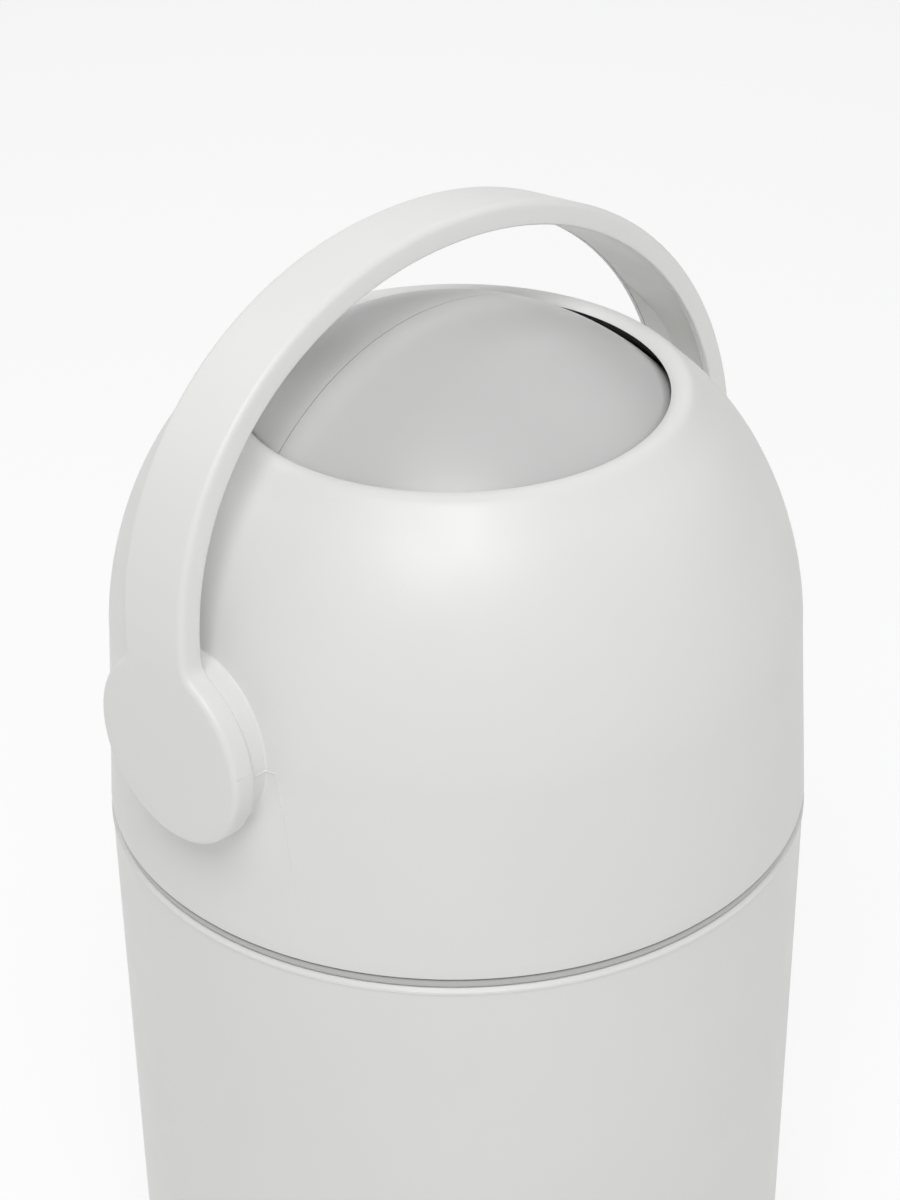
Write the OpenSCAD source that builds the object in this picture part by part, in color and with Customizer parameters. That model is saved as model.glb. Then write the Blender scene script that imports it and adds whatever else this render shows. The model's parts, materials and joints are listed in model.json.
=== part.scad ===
// Nappy bin with a flip handle. A ball-shaped rotor under the handle carries
// a nappy from the mouth down into the bucket each time the handle is turned.
// Millimetres. The bin stands on Z = 0, the handle turns about X, and the lid
// opens at the back (+Y).

/* [Bucket] */
// Height of the bucket's top edge
bucket_h = 286.2; // [200:1:420]
// Outer radius at the bucket's top edge
bucket_r = 140.3; // [130:0.5:160]
// How much smaller the radius is at the bucket's foot
bucket_draft = 2.6; // [1:0.1:12]
// Bucket wall thickness
bucket_wall = 2.8; // [2:0.1:4]
// Radius of the rolled corner at the foot
foot_round = 7; // [4:0.5:12]
// Height of the floor above the foot ring
floor_lift = 4; // [3:0.5:10]

/* [Bag ring] */
// Thickness of the ring's flange
ring_t = 2.8; // [2:0.1:4]
// Depth of the ring's skirt below the bucket's edge
ring_skirt = 24; // [15:1:40]
// Width of the ring's flange
ring_w = 13.3; // [10:0.1:18]
// How far the ring sits back from the bucket's outer edge
ring_setback = 1; // [0.5:0.1:2]

/* [Lid] */
// Gap between the ring and the lid's lower edge
seam_gap = 1; // [0.8:0.1:2]
// How far the lid's lower edge stands in from the bucket's edge
lid_setback = 0.3; // [0.2:0.1:1]
// How much smaller the lid's radius is at its shoulder
shoulder_in = 4.2; // [3.4:0.1:6]
// Height of that shoulder above the lid's lower edge
shoulder_h = 74.8; // [60:0.1:90]
// How far inside the mouth the dome's curve would end upright
dome_in = 8.5; // [6:0.1:10]
// Exponent of the dome's curve
dome_power = 1.775; // [1.6:0.005:2.2]
// Wall thickness of the dome
dome_wall = 2.6; // [2:0.1:3.4]
// Radius of the mouth in the top of the dome
mouth_r = 81.5; // [78:0.1:84]
// Height of the mouth's edge above the ball's seal
lip_rise = 5.9; // [5.6:0.1:8]
// How much smaller the pads are than the handle's round ends
pad_in = 2.6; // [2:0.1:6]
// Thickness of the plate across the bottom of the lid
plate_t = 3; // [2:0.1:4]
// Number of screws in that plate
plate_screws = 6; // [4:1:8]

/* [Rotor] */
// Height of the turning axis above the lid's lower edge
pivot_h = 78; // [74:0.1:80]
// Gap between the ball and the dome's shoulder
ball_gap = 10.9; // [10:0.1:14]
// How far that curve's centre lies off the axis
ball_off = 3.4; // [0:0.1:3.5]
// Length of the hubs that stand out of the ball's flat ends
hub_len = 4.2; // [3:0.1:6]
// Distance from the pad's face in to the hub
hub_gap = 22.2; // [20:0.1:26]
// Wall thickness of the ball
ball_wall = 3; // [2:0.1:4]
// How much narrower the well is than the mouth
well_in = 13.5; // [12:0.5:20]
// Wall thickness of the well
well_wall = 2.5; // [2:0.1:3.5]
// How far the lip at each mouth of the well stands in
well_lip = 3; // [2:0.5:5]
// Thickness of those lips
lip_t = 5.46; // [4:0.02:8]
// Distance of the rotor's screws in from the ball's outside
rotor_screw_in = 24.7; // [20:0.1:28]
// Lean of the handle and rotor towards the back
tilt = 6.6; // [0:0.1:12]

/* [Axles] */
// Radius of the axle
axle_r = 12; // [8:0.5:14]
// Running clearance of the axle in its bush
axle_fit = 0.06; // [0.03:0.01:0.1]
// Side of the square plate that the ball holds
key_side = 34; // [30:0.5:38]
// Thickness of that square plate
key_t = 4; // [3:0.5:5]
// Side of the square end in the handle
drive_side = 14; // [11:0.5:16]
// Wall thickness of the bush
bush_wall = 3; // [2:0.5:4]
// Thickness of the bush's flange
bush_flange = 3; // [2:0.5:4]

/* [Handle] */
// How far the round ends' inner faces stand in from the lid's edge
disc_set = 1.2; // [0.5:0.1:1.3]
// Gap between the lid's shoulder and the arch as it swings past
arch_gap = 15; // [12:0.5:30]
// Thickness of the handle's band
handle_t = 9.4; // [9:0.1:9.6]
// Width of the band
band_w = 33; // [26:0.5:38]
// Radius of the round ends
disc_r = 37.6; // [36:0.1:44]
// Height above the axis at which the arch starts
leg_h = 32.2; // [28:0.1:36]
// Exponent of the arch
arch_power = 2.06; // [1.95:0.01:2.3]
// Radius of the hollow curve between band and round end
neck_r = 9; // [6:0.5:30]
// Rounding of the band's edges
edge_r = 2.5; // [1.5:0.1:3]
// Thickness of the cover on the handle's inner side
cover_t = 2; // [1.5:0.1:2.5]
// Border left round that cover
cover_border = 2.2; // [2:0.1:4]
// Wall of the handle outside the hollow
handle_wall = 2.8; // [2:0.1:3.2]

/* [Piston] */
// Length of the piston
piston_len = 56; // [45:1:62]
// Clearance round the piston in the well
piston_fit = 0.5; // [0.3:0.05:0.8]
// Wall thickness of the piston
piston_wall = 2.5; // [2:0.1:4]
// Thickness of the weight inside
weight_t = 6; // [4:0.5:20]
// How much smaller the weight's radius is than the well's
weight_in = 16; // [12:0.5:30]
// Width of each wiper round the piston
wiper_w = 4; // [3:0.5:5]
// Depth of the wiper's groove
wiper_d = 1.2; // [1:0.1:1.5]

/* [Hinge] */
// Distance of the hinge's axis in from the bucket's edge
hinge_in = 6.3; // [5.8:0.1:8]
// Height of the hinge's axis above the lid's lower edge
hinge_h = 4.5; // [4.3:0.1:5]
// Radius of the hinge's knuckles
knuckle_r = 5; // [4:0.1:5]
// Radius of the hinge's pin
pin_r = 2; // [1.5:0.1:2.5]
// Half the width of the lid's knuckle
inner_half = 15.7; // [12:0.1:20]
// Half the width of the whole hinge
hinge_half = 30; // [26:0.5:32]
// Thickness of the hinge's plates
leaf_t = 3; // [2:0.1:3.2]
// Gap between the knuckles
knuckle_gap = 0.3; // [0.2:0.05:0.5]

/* [Seals] */
// Clearance between the seals and the ball
seal_gap = 0.6; // [0.4:0.05:0.8]
// Gap under the gasket of the closed lid
gasket_gap = 0.3; // [0.2:0.05:0.5]

/* [Screws] */
// Shank radius of the case screws
screw_r = 1.9; // [1.5:0.05:2.2]
// Head radius of the case screws
head_r = 3.8; // [3.2:0.1:4.2]
// Head thickness of the case screws
head_t = 2.2; // [1.8:0.1:2.6]
// Shank radius of the screws that hold the handle
axle_screw_r = 2.5; // [2:0.1:3]
// Clearance round a screw in its hole
screw_fit = 0.05; // [0.02:0.01:0.1]

/* [Hidden] */
$fn = 96;
// main radii, each from the bucket's
foot_r = bucket_r - bucket_draft;
lid_r = bucket_r - lid_setback;
shoulder_r = lid_r - shoulder_in;
ball_r = shoulder_r - dome_wall - ball_gap;
ball_arc = ball_r - ball_off;
pad_r = disc_r - pad_in;
disc_in = lid_r - disc_set;
handle_half = disc_in + handle_t;
arch_rise = shoulder_r + arch_gap + handle_t - leg_h;
hinge_y = bucket_r - hinge_in;
// heights
seam = bucket_h + ring_t + seam_gap;
pivot = seam + pivot_h;
hinge_z = seam + hinge_h;
seal_r = ball_r + seal_gap;
function on_ball(h, r = seal_r) = sqrt(r * r - h * h);
rim_out = mouth_r + 5.9;
rim_in = mouth_r + 3.7;
mouth_h = pivot_h + on_ball(rim_in) + lip_rise;
notch_half = hinge_half + 12;
notch_h = hinge_h + knuckle_r + 0.5;
// along the turning axis
pad_at = disc_in - 0.4;
hub_out = pad_at - hub_gap;
ball_end = hub_out - hub_len;
hub_in = ball_end - 13;
key_at = ball_end - 10;
washer_t = 1.5;
face_gap = 0.1;
flange_at = hub_out + washer_t + 2 * face_gap;
tube_at = flange_at + bush_flange;
drive_end = handle_half - 3.4;
bush_r = axle_r + axle_fit + bush_wall;
tube_r = bush_r + 9;
screw_end = handle_half - 1.9;
// lid plate and seals
plate_z = seam + 2;
plate_r = lid_r - dome_wall - 0.5;
post_r = lid_r - 13;
gasket_in = plate_r - 2.9;
seal_in = on_ball(pivot_h - 2);
// well
well_r = mouth_r - well_in;
well_half = ball_off + on_ball(well_r - well_lip, ball_arc) - lip_t;
rotor_screw_at = (ball_r - rotor_screw_in) / sqrt(2);
weight_r = well_r - weight_in;
// handle
band_half = band_w / 2;
neck_c = sqrt(pow(disc_r + neck_r, 2) - pow(band_half + neck_r, 2));
neck_lo = neck_c * disc_r / (disc_r + neck_r);
arch_steps = 44;
leg_steps = 9;
neck_steps = 4;
neck_turn = 0.7;

shell_white = [0.90, 0.90, 0.88];
ball_grey = [0.78, 0.78, 0.77];
ring_grey = [0.62, 0.63, 0.64];
rubber_dark = [0.14, 0.14, 0.15];
steel = [0.70, 0.71, 0.73];
nylon = [0.93, 0.92, 0.86];

// ---- places ----
module about_x() rotate([0, 90, 0]) children();
module turn() translate([0, 0, pivot]) rotate([-tilt, 0, 0]) children();
module both_ends() {
  children();
  mirror([1, 0, 0]) children();
}
// a solid of revolution about X, drawn as (radius, distance along the axis)
module spun() rotate([0, 90, 0]) rotate_extrude() children();

// ---- bucket ----
module bucket_outline(grow) {
  r_low = foot_r - grow;
  polygon(concat(
    [[0, grow == 0 ? floor_lift : floor_lift + grow]],
    grow == 0 ? [[foot_r - 20, floor_lift], [foot_r - 18, 0], [r_low - foot_round, 0]] : [],
    [for (k = [(grow == 0 ? 1 : 0):6])
      [r_low - foot_round + foot_round * sin(15 * k),
       (grow == 0 ? 0 : floor_lift + grow) + foot_round * (1 - cos(15 * k))]],
    [[bucket_r - grow, bucket_h - (grow == 0 ? 1 : -1)]],
    grow == 0 ? [[bucket_r - 0.3, bucket_h - 0.3], [bucket_r - 1, bucket_h]] : [],
    [[0, bucket_h + (grow == 0 ? 0 : 1)]]));
}

module bucket() color(shell_white) {
  difference() {
    union() {
      difference() {
        rotate_extrude() bucket_outline(0);
        rotate_extrude() bucket_outline(bucket_wall);
      }
      // flat seat for the hinge bracket inside the back wall
      intersection() {
        rotate_extrude() bucket_outline(bucket_wall / 2);
        translate([-hinge_half - 2, bracket_y, bucket_h - 46])
          cube([2 * hinge_half + 4, 20, 45.6]);
      }
    }
    for (s = [-1, 1])
      translate([s * 18, bracket_y - 1, bucket_h - 24]) rotate([-90, 0, 0])
        cylinder(r = screw_r + screw_fit, h = 4.5);
  }
}

bracket_y = hinge_y - 1;

module bag_ring() color(ring_grey) {
  skirt_r = bucket_r - bucket_wall - 0.6;
  difference() {
    rotate_extrude() union() {
      polygon([[bucket_r - ring_setback - ring_w, bucket_h],
        [bucket_r - ring_setback, bucket_h],
        [bucket_r - ring_setback, bucket_h + ring_t - 0.5],
        [bucket_r - ring_setback - 0.5, bucket_h + ring_t],
        [bucket_r - ring_setback - ring_w, bucket_h + ring_t]]);
      polygon([[skirt_r - 2.4, bucket_h - ring_skirt + 1], [skirt_r - 1.6, bucket_h - ring_skirt],
        [skirt_r - 1, bucket_h - ring_skirt], [skirt_r, bucket_h - ring_skirt + 2],
        [skirt_r, bucket_h + 0.5], [skirt_r - 2.4, bucket_h + 0.5]]);
    }
    translate([-hinge_half - 8, hinge_y - 11, bucket_h - ring_skirt - 1])
      cube([2 * hinge_half + 16, 40, ring_skirt + ring_t + 2]);
  }
}

// ---- hinge ----
module knuckles(spans, bore) {
  for (s = spans) translate([s[0], hinge_y, hinge_z]) rotate([0, 90, 0])
    difference() {
      cylinder(r = knuckle_r, h = s[1] - s[0]);
      translate([0, 0, -1]) cylinder(r = bore, h = s[1] - s[0] + 2);
    }
}

module hinge_bracket() color(ring_grey) {
  outer_in = inner_half + knuckle_gap;
  knuckles([[-hinge_half, -outer_in], [outer_in, hinge_half]], pin_r + 0.02);
  difference() {
    union() {
      translate([-hinge_half, bracket_y - leaf_t, bucket_h - 42])
        cube([2 * hinge_half, leaf_t, 41]);
      for (x = [-hinge_half, outer_in])
        translate([x, bracket_y - leaf_t, bucket_h - 2])
          cube([hinge_half - outer_in, leaf_t, hinge_z - bucket_h + 2]);
    }
    translate([0, hinge_y, hinge_z]) rotate([0, 90, 0])
      cylinder(r = knuckle_r - 1, h = 100, center = true);
    for (s = [-1, 1])
      translate([s * 18, bracket_y - leaf_t - 1, bucket_h - 24]) rotate([-90, 0, 0])
        cylinder(r = screw_r + screw_fit, h = leaf_t + 2);
  }
}

module screw_y(x, y, z, len) translate([x, y, z]) rotate([-90, 0, 0]) {
  cylinder(r = screw_r, h = len);
  difference() {
    translate([0, 0, -head_t]) cylinder(r = head_r, h = head_t);
    translate([0, 0, -head_t - 1]) cylinder(r = 1.2, h = 2);
  }
}

module bracket_screws() color(steel)
  for (s = [-1, 1]) screw_y(s * 18, bracket_y - leaf_t, bucket_h - 24, leaf_t + 3);

module hinge_pin() color(steel)
  translate([-hinge_half - 0.5, hinge_y, hinge_z]) rotate([0, 90, 0])
    cylinder(r = pin_r, h = 2 * hinge_half + 1);

leaf_y = hinge_y - 1.8;

module hinge_leaf() color(ring_grey) {
  knuckles([[-inner_half, inner_half]], pin_r + 0.06);
  difference() {
    union() {
      translate([-inner_half, leaf_y - leaf_t, hinge_z]) cube([2 * inner_half, leaf_t, 14]);
      translate([-hinge_half + 6, leaf_y - leaf_t, seam + 13])
        cube([2 * hinge_half - 12, leaf_t, 38]);
    }
    translate([0, hinge_y, hinge_z]) rotate([0, 90, 0])
      cylinder(r = knuckle_r - 1, h = 100, center = true);
    for (s = [-1, 1])
      translate([s * 14, leaf_y - leaf_t - 1, seam + 34]) rotate([-90, 0, 0])
        cylinder(r = screw_r + screw_fit, h = leaf_t + 2);
  }
}

module leaf_screws() color(steel)
  for (s = [-1, 1]) screw_y(s * 14, leaf_y - leaf_t, seam + 34, leaf_t + 2.4);

// ---- lid ----
dome_e = 2 / dome_power;
dome_x = mouth_r - dome_in;
dome_a = shoulder_r - dome_x;
lip_r = mouth_r + 11;
lip_drop = 2.757;
rim_floor = pivot_h + on_ball(rim_out) + 0.1;
function dome_t(r, a) = acos(pow((r - dome_x) / a, 1 / dome_e));
function dome_pt(t, w) = [dome_x + (dome_a - w) * pow(cos(t), dome_e),
  shoulder_h + (dome_b - w) * pow(sin(t), dome_e)];
t_out = dome_t(lip_r, dome_a);
t_in = dome_t(lip_r - 1, dome_a - dome_wall);
t_lip = dome_t(mouth_r + 20, dome_a);
dome_b = (mouth_h - lip_drop - shoulder_h) / pow(sin(t_out), dome_e);
dome_steps = 22;

// the dome's section; its curve runs on as a cone, then turns into the level band of the lip
module dome_half() translate([0, seam]) polygon(concat(
  [[lid_r - dome_wall, 0], [lid_r - 0.6, 0], [lid_r, 0.6]],
  [for (k = [0:dome_steps]) dome_pt(t_lip * k / dome_steps, 0)],
  [[mouth_r + 17, mouth_h - 7.43], [mouth_r + 14, mouth_h - 4.45], [mouth_r + 11.8, mouth_h - 2.25],
   [mouth_r + 10.5, mouth_h - 0.98], [mouth_r + 9.6, mouth_h - 0.25], [mouth_r + 8.5, mouth_h + 0.18],
   [mouth_r + 7, mouth_h + 0.43], [mouth_r + 5, mouth_h + 0.5], [mouth_r + 3.2, mouth_h + 0.38],
   [mouth_r + 1.8, mouth_h + 0.12], [mouth_r + 0.9, mouth_h - 0.22], [mouth_r + 0.45, mouth_h - 0.7],
   [mouth_r + 0.45, mouth_h - 1.2], [mouth_r + 7, mouth_h - 1.2],
   [mouth_r + 7, rim_floor], [mouth_r + 9, rim_floor],
   [mouth_r + 9.2, dome_pt(t_in, dome_wall)[1] - 0.6]],
  [for (k = [dome_steps:-1:0]) dome_pt(t_in * k / dome_steps, dome_wall)]));

module lid_solid() rotate_extrude() translate([0, seam]) polygon(concat(
  [[0, 0], [lid_r - 1, 0]],
  [for (k = [0:dome_steps]) dome_pt(t_out * k / dome_steps, 1)],
  [[0, mouth_h - 6]]));

module dome() color(shell_white) {
  difference() {
    union() {
      rotate_extrude() dome_half();
      // pads that the handle turns against, with the bush tube inside
      both_ends() difference() {
        translate([0, 0, pivot]) spun() union() {
          translate([0, shoulder_r - 20]) square([pad_r - 1, pad_at - shoulder_r + 20]);
          translate([0, shoulder_r - 20]) square([pad_r, pad_at - shoulder_r + 19]);
          translate([pad_r - 1, pad_at - 1]) circle(r = 1);
        }
        rotate_extrude() translate([0, seam]) polygon(concat([[0, 0], [lid_r - dome_wall, 0]],
          [for (k = [0:dome_steps]) dome_pt(t_in * k / dome_steps, dome_wall)], [[0, mouth_h - 4]]));
      }
      both_ends() translate([0, 0, pivot]) spun()
        translate([0, tube_at]) square([tube_r, pad_at - tube_at - 3]);
      // ribs that carry the tube
      both_ends() intersection() {
        lid_solid();
        for (a = [0, 90]) translate([tube_at + 3, 0, pivot]) rotate([a, 0, 0])
          translate([0, -1.2, -tube_r - 9]) cube([40, 2.4, 2 * tube_r + 18]);
      }
      // posts for the bottom plate's screws
      intersection() {
        lid_solid();
        for (k = [0:plate_screws - 1]) rotate(360 / plate_screws * (k + 0.5)) {
          translate([0, -post_r, plate_z + plate_t]) cylinder(r = 5, h = 20);
          translate([-1.5, -post_r - 15, plate_z + plate_t]) cube([3, 15, 20]);
        }
      }
      // flat seat for the hinge leaf inside the back wall
      intersection() {
        lid_solid();
        translate([-hinge_half + 2, leaf_y, seam + 15]) cube([2 * hinge_half - 4, 20, 37]);
      }
    }
    both_ends() translate([0, 0, pivot]) spun()
      translate([0, tube_at - 1]) square([bush_r + 0.02, 60]);
    for (k = [0:plate_screws - 1]) rotate(360 / plate_screws * (k + 0.5))
      translate([0, -post_r, plate_z]) cylinder(r = screw_r + screw_fit, h = 17);
    for (s = [-1, 1])
      translate([s * 14, leaf_y - 1, seam + 34]) rotate([-90, 0, 0])
        cylinder(r = screw_r + screw_fit, h = 3.6);
    // room for the hinge's knuckles
    translate([-notch_half, hinge_y - 20, seam - 1]) cube([2 * notch_half, 40, notch_h + 1]);
  }
}

module lid_plate() color(shell_white) {
  difference() {
    rotate_extrude() union() {
      translate([seal_in + 3.5, plate_z]) square([plate_r - seal_in - 3.5, plate_t]);
      // stiffening ring
      translate([post_r - 12, plate_z]) square([2, plate_t + 5]);
    }
    translate([-notch_half + 1, hinge_y - 10.5, seam - 5]) cube([2 * notch_half - 2, 40, 20]);
    for (k = [0:plate_screws - 1]) rotate(360 / plate_screws * (k + 0.5))
      translate([0, -post_r, plate_z - 1]) cylinder(r = screw_r + screw_fit, h = plate_t + 2);
  }
}

module plate_screws_set() color(steel)
  for (k = [0:plate_screws - 1]) rotate(360 / plate_screws * (k + 0.5))
    translate([0, -post_r, plate_z]) {
      cylinder(r = screw_r, h = 16);
      translate([0, 0, -head_t]) cylinder(r = head_r, h = head_t);
    }

module rim_seal() color(rubber_dark) rotate_extrude() translate([0, pivot]) {
  top = mouth_h - 1.3 - pivot_h;
  polygon([[mouth_r + 0.9, top], [mouth_r + 6.9, top], [mouth_r + 6.9, on_ball(rim_out)],
    [rim_out, on_ball(rim_out)], [rim_in, on_ball(rim_in)]]);
}

module wiper_seal() color(rubber_dark) rotate_extrude() translate([0, seam])
  polygon([[on_ball(pivot_h + 0.9), -0.9], [seal_in + 11, -0.9], [seal_in + 11, 2], [seal_in, 2]]);

module lid_gasket() color(rubber_dark) difference() {
  rotate_extrude() translate([gasket_in, seam - seam_gap + gasket_gap])
    square([plate_r - gasket_in - 0.3, plate_z - seam + seam_gap - gasket_gap]);
  translate([-notch_half, hinge_y - 12, seam - 5]) cube([2 * notch_half, 40, 20]);
}

module bush() color(nylon) difference() {
  translate([0, 0, pivot]) spun() union() {
    translate([0, flange_at]) square([bush_r + 6, bush_flange]);
    translate([0, flange_at]) square([bush_r, pad_at - 0.2 - flange_at]);
  }
  translate([0, 0, pivot]) spun() translate([0, flange_at - 1]) square([axle_r + axle_fit, 60]);
}

module bush_left() mirror([1, 0, 0]) bush();
module bush_right() bush();

// ---- rotor ----
module ball(wall, end) spun() intersection() {
  translate([ball_off, 0]) circle(r = ball_arc - wall, $fn = 180);
  translate([0, -end]) square([200, 2 * end]);
}

module rotor_solid() difference() {
  union() {
    difference() {
      ball(0, ball_end);
      difference() {
        ball(ball_wall, ball_end - ball_wall);
        rotate([90, 0, 0]) cylinder(r = well_r + well_wall, h = 300, center = true);
        both_ends() spun() translate([0, hub_in]) square([key_side * 0.75 + 3, 30]);
        for (x = [-1, 1]) for (z = [-1, 1])
          translate([x * rotor_screw_at, 0, z * rotor_screw_at]) rotate([90, 0, 0])
            cylinder(r = 6.5, h = 300, center = true);
      }
    }
    both_ends() spun() translate([0, hub_in]) square([20, hub_out - hub_in]);
  }
  rotate([90, 0, 0]) cylinder(r = well_r, h = 2 * well_half, center = true, $fn = 144);
  rotate([90, 0, 0]) cylinder(r = well_r - well_lip, h = 300, center = true, $fn = 144);
  both_ends() {
    spun() translate([0, hub_in - 1]) square([axle_r + 0.03, 40]);
    translate([key_at - 0.03, -key_side / 2 - 0.03, -key_side / 2 - 0.03])
      cube([key_t + 0.06, key_side + 0.06, key_side + 0.06]);
  }
  for (x = [-1, 1]) for (z = [-1, 1])
    translate([x * rotor_screw_at, 0, z * rotor_screw_at]) rotate([-90, 0, 0]) {
      translate([0, 0, -24]) cylinder(r = screw_r + screw_fit, h = 60);
      translate([0, 0, 22]) cylinder(r = head_r + 0.6, h = 100);
    }
}

module rotor_front() color(ball_grey) turn() intersection() {
  rotor_solid();
  translate([-200, -200, -200]) cube([400, 200, 400]);
}

module rotor_back() color(ball_grey) turn() intersection() {
  rotor_solid();
  translate([-200, 0, -200]) cube([400, 200, 400]);
}

module rotor_screws() color(steel) turn()
  for (x = [-1, 1]) for (z = [-1, 1])
    translate([x * rotor_screw_at, 0, z * rotor_screw_at]) rotate([-90, 0, 0]) {
      translate([0, 0, -22]) cylinder(r = screw_r, h = 44);
      translate([0, 0, 22]) cylinder(r = head_r, h = head_t);
    }

module axle() color(nylon) turn() difference() {
  union() {
    spun() translate([0, hub_in]) square([axle_r, disc_in - hub_in - 0.1]);
    translate([key_at, -key_side / 2, -key_side / 2]) cube([key_t, key_side, key_side]);
    translate([disc_in - 1, -drive_side / 2, -drive_side / 2])
      cube([drive_end - disc_in + 1, drive_side, drive_side]);
  }
  spun() translate([0, hub_in - 1]) square([axle_screw_r + screw_fit, 80]);
}

module axle_left() mirror([1, 0, 0]) axle();
module axle_right() axle();

module thrust_washers() color(steel) turn() both_ends()
  spun() translate([axle_r + 0.3, hub_out + face_gap]) square([6.5, washer_t]);

// ---- handle ----
// half width of the band at a height above the axis
function half_at(h) =
  h < neck_lo ? sqrt(disc_r * disc_r - h * h) - 0.3 :
  h < neck_c ? band_half + neck_r - sqrt(neck_r * neck_r - pow(neck_c - h, 2)) : band_half;
function se(x) = sign(x) * pow(abs(x), 2 / arch_power);
// a point at depth d under the outer face, at angle t along the arch
function arch_pt(t, f, d) = [(handle_half - d) * se(cos(t)),
  leg_h * f + (arch_rise - d) * se(sin(t))];
// outline of the band from depth d0 to d1, with rounded edges
function band_section(d0, d1, b, e) = concat(
  [for (k = [0:3]) [d0 + e - e * cos(30 * k), b - e + e * sin(30 * k)]],
  [for (k = [0:3]) [d1 - e + e * sin(30 * k), b - e + e * cos(30 * k)]],
  [for (k = [0:3]) [d1 - e + e * cos(30 * k), -b + e - e * sin(30 * k)]],
  [for (k = [0:3]) [d0 + e - e * sin(30 * k), -b + e - e * cos(30 * k)]]);

// one ring of points per station [angle, leg fraction, half width]
module band_sweep(stations, d0, d1, e) {
  n = 16;
  m = len(stations);
  pts = [for (s = stations) for (q = band_section(d0, d1, s[2], e))
    let (p = arch_pt(s[0], s[1], q[0])) [p[0], q[1], p[1]]];
  faces = concat(
    [[for (j = [0:n - 1]) j]],
    [for (i = [0:m - 2]) for (j = [0:n - 1])
      [i * n + j, (i + 1) * n + j, (i + 1) * n + (j + 1) % n, i * n + (j + 1) % n]],
    [[for (j = [n - 1:-1:0]) (m - 1) * n + j]]);
  polyhedron(points = pts, faces = faces, convexity = 6);
}

function arch_h(t) = arch_pt(t, 1, 0)[1];
leg_stations = [for (k = [0:leg_steps - 1])
  let (h = leg_h * k / leg_steps) [0, k / leg_steps, half_at(h)]];
// close together through the necks, where the band widens into the round ends
arch_angles = concat([for (k = [0:neck_steps]) neck_turn * k],
  [for (k = [1:arch_steps - 1]) 180 * k / arch_steps],
  [for (k = [neck_steps:-1:0]) 180 - neck_turn * k]);
arch_stations = [for (t = arch_angles) [t, 1, half_at(arch_h(t))]];
far_stations = [for (k = [leg_steps - 1:-1:0])
  let (h = leg_h * k / leg_steps) [180, k / leg_steps, half_at(h)]];
cover_from = 12;
cover_half = band_half - cover_border;
function cover_stations(from, b) = [for (k = [0:36])
  [from + (180 - 2 * from) * k / 36, 1, b]];

module disc_section() union() {
  square([disc_r - edge_r, handle_t]);
  translate([0, edge_r]) square([disc_r, handle_t - 2 * edge_r]);
  for (y = [edge_r, handle_t - edge_r]) translate([disc_r - edge_r, y]) circle(r = edge_r);
}

module handle() color(shell_white) turn() difference() {
  union() {
    band_sweep(concat(leg_stations, arch_stations, far_stations), 0, handle_t, edge_r);
    both_ends() spun() translate([0, disc_in]) intersection() {
      disc_section();
      square([100, 100]);
    }
  }
  band_sweep(cover_stations(cover_from, cover_half), handle_t - cover_t, handle_t + 2, 0.4);
  band_sweep(cover_stations(cover_from + 1, cover_half - 1.6), handle_wall, handle_t - 1, 0.8);
  both_ends() {
    translate([disc_in - 1, -drive_side / 2 - 0.03, -drive_side / 2 - 0.03])
      cube([drive_end - disc_in + 1.05, drive_side + 0.06, drive_side + 0.06]);
    spun() translate([0, disc_in]) square([axle_screw_r + screw_fit, screw_end + 0.2 - disc_in]);
  }
}

module handle_cover() color(shell_white) turn()
  band_sweep(cover_stations(cover_from + 0.15, cover_half - 0.15),
    handle_t - cover_t + 0.05, handle_t, 0.3);

module handle_screws() color(steel) turn() both_ends() spun() {
  translate([0, hub_in]) square([axle_screw_r, screw_end - hub_in]);
  translate([0, hub_in - 3]) square([2.2 * axle_screw_r, 3]);
}

// ---- piston ----
piston_r = well_r - piston_fit;
piston_y = well_half - piston_len;
module along_well(at) turn() translate([0, at, 0]) rotate([-90, 0, 0]) children();

module piston_cup() color(ring_grey) along_well(piston_y + 0.1) rotate_extrude() difference() {
  union() {
    translate([0, 0]) square([piston_r - 2, piston_len - 0.2]);
    translate([0, 2]) square([piston_r, piston_len - 4.2]);
    translate([piston_r - 2, 2]) circle(r = 2);
    translate([piston_r - 2, piston_len - 2.2]) circle(r = 2);
  }
  translate([-1, piston_wall]) square([piston_r - wiper_d - 3 + 1, piston_len]);
  for (y = [8, piston_len - 8 - wiper_w])
    translate([piston_r - wiper_d, y]) square([10, wiper_w]);
}

module piston_cap() color(ring_grey)
  along_well(piston_y + 0.1 + piston_len - 0.2 - piston_wall) rotate_extrude()
    difference() {
      square([piston_r - wiper_d - 3.1, piston_wall]);
      translate([0, piston_wall - 0.8]) square([30, 2]);
    }

module piston_weight() color(steel) along_well(piston_y + 0.1 + piston_wall)
  difference() {
    cylinder(r = weight_r, h = weight_t);
    translate([0, 0, -1]) cylinder(r = 10, h = weight_t + 2);
  }

module piston_wipers() color(rubber_dark) along_well(piston_y + 0.1) rotate_extrude()
  for (y = [8, piston_len - 8 - wiper_w])
    translate([piston_r - wiper_d, y + 0.1]) square([wiper_d + piston_fit - 0.2, wiper_w - 0.2]);

bucket();
bag_ring();
hinge_bracket();
bracket_screws();
hinge_pin();
dome();
lid_plate();
plate_screws_set();
rim_seal();
wiper_seal();
lid_gasket();
bush_left();
bush_right();
hinge_leaf();
leaf_screws();
rotor_front();
rotor_back();
rotor_screws();
axle_left();
axle_right();
thrust_washers();
handle();
handle_cover();
handle_screws();
piston_cup();
piston_cap();
piston_weight();
piston_wipers();
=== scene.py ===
"""The looks of a nappy bin: its shells, seals and small parts as smooth surfaces, their finishes,
and a plain studio round it. Everything is in metres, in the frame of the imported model."""

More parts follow.
